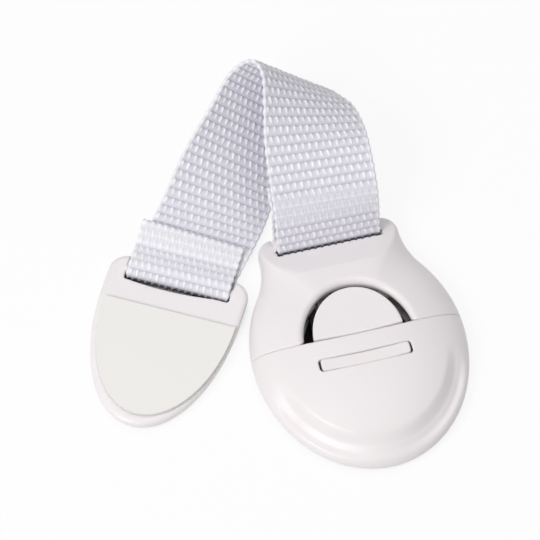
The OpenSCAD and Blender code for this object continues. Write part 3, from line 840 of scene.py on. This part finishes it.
def foam_pads():
    round_part = half_ellipse(ANCHOR_PAD_SHIFT, ANCHOR_PAD_Y, ANCHOR_PAD_HALF_W, ANCHOR_PAD_LEN)
    top = cut_edge(ANCHOR_PAD_HALF_W, -ANCHOR_PAD_HALF_W, ANCHOR_PAD_Y) + (ANCHOR_PAD_SHIFT, 0)
    foam_pad("anchor_foam", np.concatenate([top, round_part]), ANCHOR_T, ANCHOR_T + FOAM_T,
             "anchor_foam_pad", "anchor", anchor_to_row)
    lock = CENTRE + (LOCK_OUTLINE - CENTRE) * (1 - LOCK_PAD_MARGIN / HALF_W)
    lock = lock[lock[:, 1] < LOCK_PAD_CUT]
    lock = lock[np.argsort(np.arctan2(lock[:, 0], LOCK_PAD_CUT - lock[:, 1]))]
    top = cut_edge(lock[-1, 0], lock[0, 0], LOCK_PAD_CUT)
    foam_pad("lock_foam", np.concatenate([lock, top]), LINER_T, LINER_T + FOAM_T,
             "lock_foam_pad", "glued_half", lambda points, shift: points)


# Strap

def unit(v):
    return v / np.linalg.norm(v, axis=-1, keepdims=True)


def curve(keys, t):
    """Smooth curve through key points, where t counts them from the second one."""
    i = np.clip(np.floor(t).astype(int), 0, len(keys) - 4)
    f = (t - i)[:, None]
    a, b, c, d = (keys[i + k] for k in range(4))
    square, cube = 2 * a - 5 * b + 4 * c - d, 3 * b - a - 3 * c + d
    return 0.5 * (2 * b + (c - a) * f + square * f ** 2 + cube * f ** 3)


def strap_path():
    """Middle, width way and weld pressing of the webbing, from the latch's flap to the anchor's."""
    lock_bar, lock_across = np.array([0, LOCK_BAR_Y, LOCK_BAR_Z]), np.array([1.0, 0, 0])
    lock_way = np.array([0, math.cos(LOCK_LEAVE), math.sin(LOCK_LEAVE)])
    lock_out = np.cross(lock_across, lock_way)
    axis, anchor_across = anchor_to_row(np.array([[0.0, 1, 0], [1.0, 0, 0]]), 0)
    anchor_bar = anchor_to_row(np.array([[0, ANCHOR_BAR_Y, ANCHOR_BAR_Z]]), 1)[0]
    anchor_way = axis * math.cos(ANCHOR_LEAVE) + np.array([0, 0, math.sin(ANCHOR_LEAVE)])
    anchor_out = -np.cross(anchor_across, anchor_way)
    middle = [lock_bar + lock_out * LOCK_LOOP_R] + [np.array(m, float) for m, _ in ROUTE]
    middle.append(anchor_bar + anchor_out * ANCHOR_LOOP_R)
    before = middle[1] - lock_way * 2 * np.linalg.norm(middle[1] - middle[0])
    after = middle[-2] - anchor_way * 2 * np.linalg.norm(middle[-2] - middle[-1])
    keys = np.array([before] + middle + [after])
    ways = unit(np.array([lock_across] * 2 + [w for _, w in ROUTE] + [anchor_across] * 2, float))
    last = len(middle) - 1

    def pressed(t):
        """Welds flatten the webbing where the flaps lie on their legs."""
        start, firm, easing, stop = LOCK_WELD
        lock_weld = ease(start, firm, t) * (1 - ease(easing, stop, t))
        start, firm, easing, stop = (last - back for back in ANCHOR_WELD)
        anchor_weld = ease(start, firm, t) * (1 - ease(easing, stop, t))
        return lock_weld + ANCHOR_WELD_SHARE * anchor_weld

    def leg(t):
        return np.column_stack([curve(keys, t), unit(curve(ways, t)), pressed(t)])

    def flap(t, bar, across):
        row = leg(t)
        forward = leg(t + FLAP_NUDGE)[:, :3] - leg(t - FLAP_NUDGE)[:, :3]
        normal = unit(np.cross(row[:, 3:6], forward))
        place = row[:, :3] - normal * (STRAP_T + WELD_GAP)
        width = unit(across - normal * (normal @ across)[:, None])
        return np.column_stack([place - width * ((place - bar) @ across)[:, None], width, pressed(t)])

    def loop(bar, out, way, across, r):
        turn = np.linspace(math.pi, 0, LOOP_POINTS)[:, None]
        place = bar + r * (np.cos(turn) * out - np.sin(turn) * way)
        return np.column_stack([place, np.repeat([across], LOOP_POINTS, axis=0), np.zeros(LOOP_POINTS)])

    def single(place, across, weld):
        return np.concatenate([place, across, [weld]])[None]

    path = np.concatenate([
        flap(np.linspace(*LOCK_FLAP, FLAP_POINTS), lock_bar, lock_across),
        single(lock_bar - lock_out * LOCK_LOOP_R + lock_way * LOCK_FLAP_STEP, lock_across, 0.0),
        loop(lock_bar, lock_out, lock_way, lock_across, LOCK_LOOP_R),
        leg(np.linspace(0, last, LEG_POINTS)[1:-1]),
        loop(anchor_bar, anchor_out, anchor_way, anchor_across, ANCHOR_LOOP_R)[::-1],
        single(anchor_bar - anchor_out * ANCHOR_LOOP_R + anchor_way * ANCHOR_FLAP_STEP, anchor_across,
               ANCHOR_LOOP_WELD),
        flap(last - np.linspace(*ANCHOR_FLAP, FLAP_POINTS), anchor_bar, anchor_across)])
    return path, middle[FOLD_AT]


def evenly(path, step):
    """The path at even steps of its own length, its kinks eased out."""
    length = np.concatenate([[0], np.cumsum(np.linalg.norm(np.diff(path[:, :3], axis=0), axis=1))])
    along = np.linspace(0, length[-1], int(length[-1] / step) + 1)
    rows = np.column_stack([np.interp(along, length, column) for column in path.T])
    for _ in range(6):
        rows[1:-1] = (rows[:-2] + 2 * rows[1:-1] + rows[2:]) / 4
    return along, rows[:, :3], unit(rows[:, 3:6]), rows[:, 6]


def weave(across, along, face):
    """Height of the weave: short warp floats in rows over a ridge of weft, each row set over by one yarn."""
    row = np.round(along / ROW_PITCH)
    ahead = (1 - 2 * face) * (along / ROW_PITCH - row)
    set_over = (row + face) % 2
    yarn = 2 * np.round((across / YARN_PITCH - set_over) / 2) + set_over
    uneven = np.sin(ROW_SCATTER * row + YARN_SCATTER * yarn)
    slant = FLOAT_SLANT * ROW_PITCH * ahead * (FLOAT_UPRIGHT + set_over)
    beside = across - yarn * YARN_PITCH + slant + SIDE_WANDER * uneven
    lift = ease(*FLOAT_HEAD, ahead) * ease(*FLOAT_TAIL, ahead + TAIL_WANDER * uneven)
    lift = lift * (1 - RISE_WANDER + RISE_WANDER * uneven)
    warp = HOLLOW + (FLOAT_RISE - HOLLOW) * lift - FLOAT_ROUND * beside ** 2
    weft = WEFT_RISE - WEFT_ROUND * (ahead - WEFT_AT) ** 2 - GROOVE * ease(*GROOVE_RUN, np.abs(ahead))
    return np.maximum(np.maximum(warp, weft + 0 * across), HOLLOW)


def pressed_weave(across, along):
    """Height of the weave where a weld has flattened it: low ripples, finer than the rows."""
    rows = PRESSED_ROWS * np.cos(4 * math.pi * along / ROW_PITCH)
    return rows + PRESSED_YARNS * np.cos(2 * math.pi * across / YARN_PITCH + along)


def painted_slot_mask(points):
    """Where shade is painted on the webbing: 1 where it lies inside a strap slot, on the side of its bar that
    faces the slot's edge.
    """
    x, y, z = (points[..., k] for k in range(3))
    outer, inner = TUCK_SIDE
    shallow, deep = (recess_foot() - below for below in LOCK_TUCK_BELOW)
    at_lock = ease(-outer, -inner, x) * ease(LOCK_SLOT_Y - 2, LOCK_SLOT_Y - 1, y)
    at_lock = at_lock * ease(LOCK_BAR_Y, LOCK_BAR_Y - 1, y) * ease(shallow, deep, z)
    beside, ahead = anchor_axes(x, y)
    at_anchor = ease(ANCHOR_BAR_Y, ANCHOR_BAR_Y - ANCHOR_TUCK_RUN, ahead) * ease(*ANCHOR_TUCK_Z, z)
    return np.maximum(at_lock, at_anchor * ease(outer, inner, np.abs(beside)))


def strap():
    path, fold = strap_path()
    along, place, way, pressed = evenly(path, ROW_PITCH / STEPS_A_ROW)
    tangent = unit(np.gradient(place, axis=0))
    normal = unit(np.cross(way, tangent))
    flat_w = STRAP_W / 2 - EDGE_ROUND
    flat = np.linspace(-flat_w, flat_w, int(10 * flat_w / YARN_PITCH) + 1)
    turn = np.linspace(0, math.pi, 7)[1:-1]
    bead = EDGE_ROUND * np.sin(turn)
    across = np.concatenate([flat, flat_w + bead, flat[::-1], -flat_w - bead])
    side = np.concatenate([np.ones(flat.size), np.cos(turn), -np.ones(flat.size), -np.cos(turn)])
    v = along[:, None]
    relief = np.where(side > 0, weave(across[None], v, 0), weave(across[None], v, 1))
    weld = WELD_FLATTENS * pressed[:, None]
    relief = relief * (1 - weld) + pressed_weave(across[None], v) * weld
    selvedge = ease(flat_w - SELVEDGE_W, flat_w, np.abs(across))[None]
    beads = np.cos(2 * math.pi * v / ROW_PITCH)
    relief = relief * (1 - selvedge) + (SELVEDGE_RISE + BEAD_RISE * beads) * selvedge
    ends = np.minimum(v, along[-1] - v)
    height = (WEB_CORE + relief) * side * np.sqrt(1 - END_THIN * (1 - np.clip(ends / END_RUN, 0, 1)) ** 2)
    scallop = SCALLOP * beads * selvedge * np.sign(across)
    points = place[:, None] + way[:, None] * (across + scallop)[..., None]
    points = points + normal[:, None] * height[..., None]
    number = np.arange(height.size).reshape(height.shape)
    beside = np.roll(number, -1, axis=1)
    faces = np.stack([number[:-1], beside[:-1], beside[1:], number[1:]], axis=-1).reshape(-1, 4).tolist()
    faces += [number[0, ::-1].tolist(), number[-1].tolist()]
    obj = piece("strap_webbing", points.reshape(-1, 3), faces, WEB,
                ["strap_lock_leg", "strap_anchor_leg"])
    # rise sets the painted shade in the weave's hollows; welded stretches on the anchor's side get less of it
    paler = WELD_PALER * pressed[:, None] * (v > along[-1] / 2)
    rise = np.clip((relief - HOLLOW) / (FLOAT_RISE - HOLLOW), 0, 1) + paler
    fields = {"relief": rise, "slot_shade": painted_slot_mask(points), "along": v + 0 * across, "across": across + 0 * v}
    for name, values in fields.items():
        attribute = obj.data.attributes.new(name, "FLOAT", "POINT")
        attribute.data.foreach_set("value", values.astype(np.float32).ravel())
    tuple(fold * MM)
    tuple((fold + FOLD_RUN * FOLD_WAY) * MM)
    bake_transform(obj)


LOCK_OUTLINE = lock_outline()
pocket_cover()
latch_front()
release_button()
catch_spring()
anchor_plate()
foam_pads()
strap()

NODE_FINISH = {"lock_release_liner": PAPER, "anchor_release_liner": PAPER, "button_pivot_pin": WIRE,
               "lock_foam_pad": FOAM, "anchor_foam_pad": FOAM, "strap_lock_leg": WEB, "strap_anchor_leg": WEB}
for name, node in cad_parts.items():
    node.data.materials.clear()
    node.data.materials.append(NODE_FINISH.get(name, PLASTIC))


# Floor and light

def floor():
    mesh = bpy.data.meshes.new("floor")
    w = FLOOR_HALF_W
    mesh.from_pydata([(-w, -w, 0), (w, -w, 0), (w, w, 0), (-w, w, 0)], [], [(0, 1, 2, 3)])
    mesh.materials.append(pale_floor())
    obj = bpy.data.objects.new("floor", mesh)
    obj.location.z = -FLOOR_DROP
    scene.collection.objects.link(obj)


def lamp(name, at, size, watts, colour):
    light = bpy.data.lights.new(name, "AREA")
    light.energy, light.size, light.color = watts, size, colour
    obj = bpy.data.objects.new(name, light)
    obj.location = at
    obj.rotation_mode = "QUATERNION"
    obj.rotation_quaternion = (Vector(at) - AIM).to_track_quat("Z", "Y")
    scene.collection.objects.link(obj)


def sky(strength):
    scene.world = bpy.data.worlds.new("studio")
    scene.world.use_nodes = True
    scene.world.node_tree.nodes["Background"].inputs["Color"].default_value = tint(1, 1, 1)
    scene.world.node_tree.nodes["Background"].inputs["Strength"].default_value = strength


floor()
lamp("key", at=(-0.6, -0.3, 0.7), size=0.38, watts=4.65, colour=(1, 0.99, 0.98))
lamp("top", at=(0.05, 0.2, 0.95), size=0.7, watts=2.3, colour=(1, 1, 1))
sky(strength=0.4)
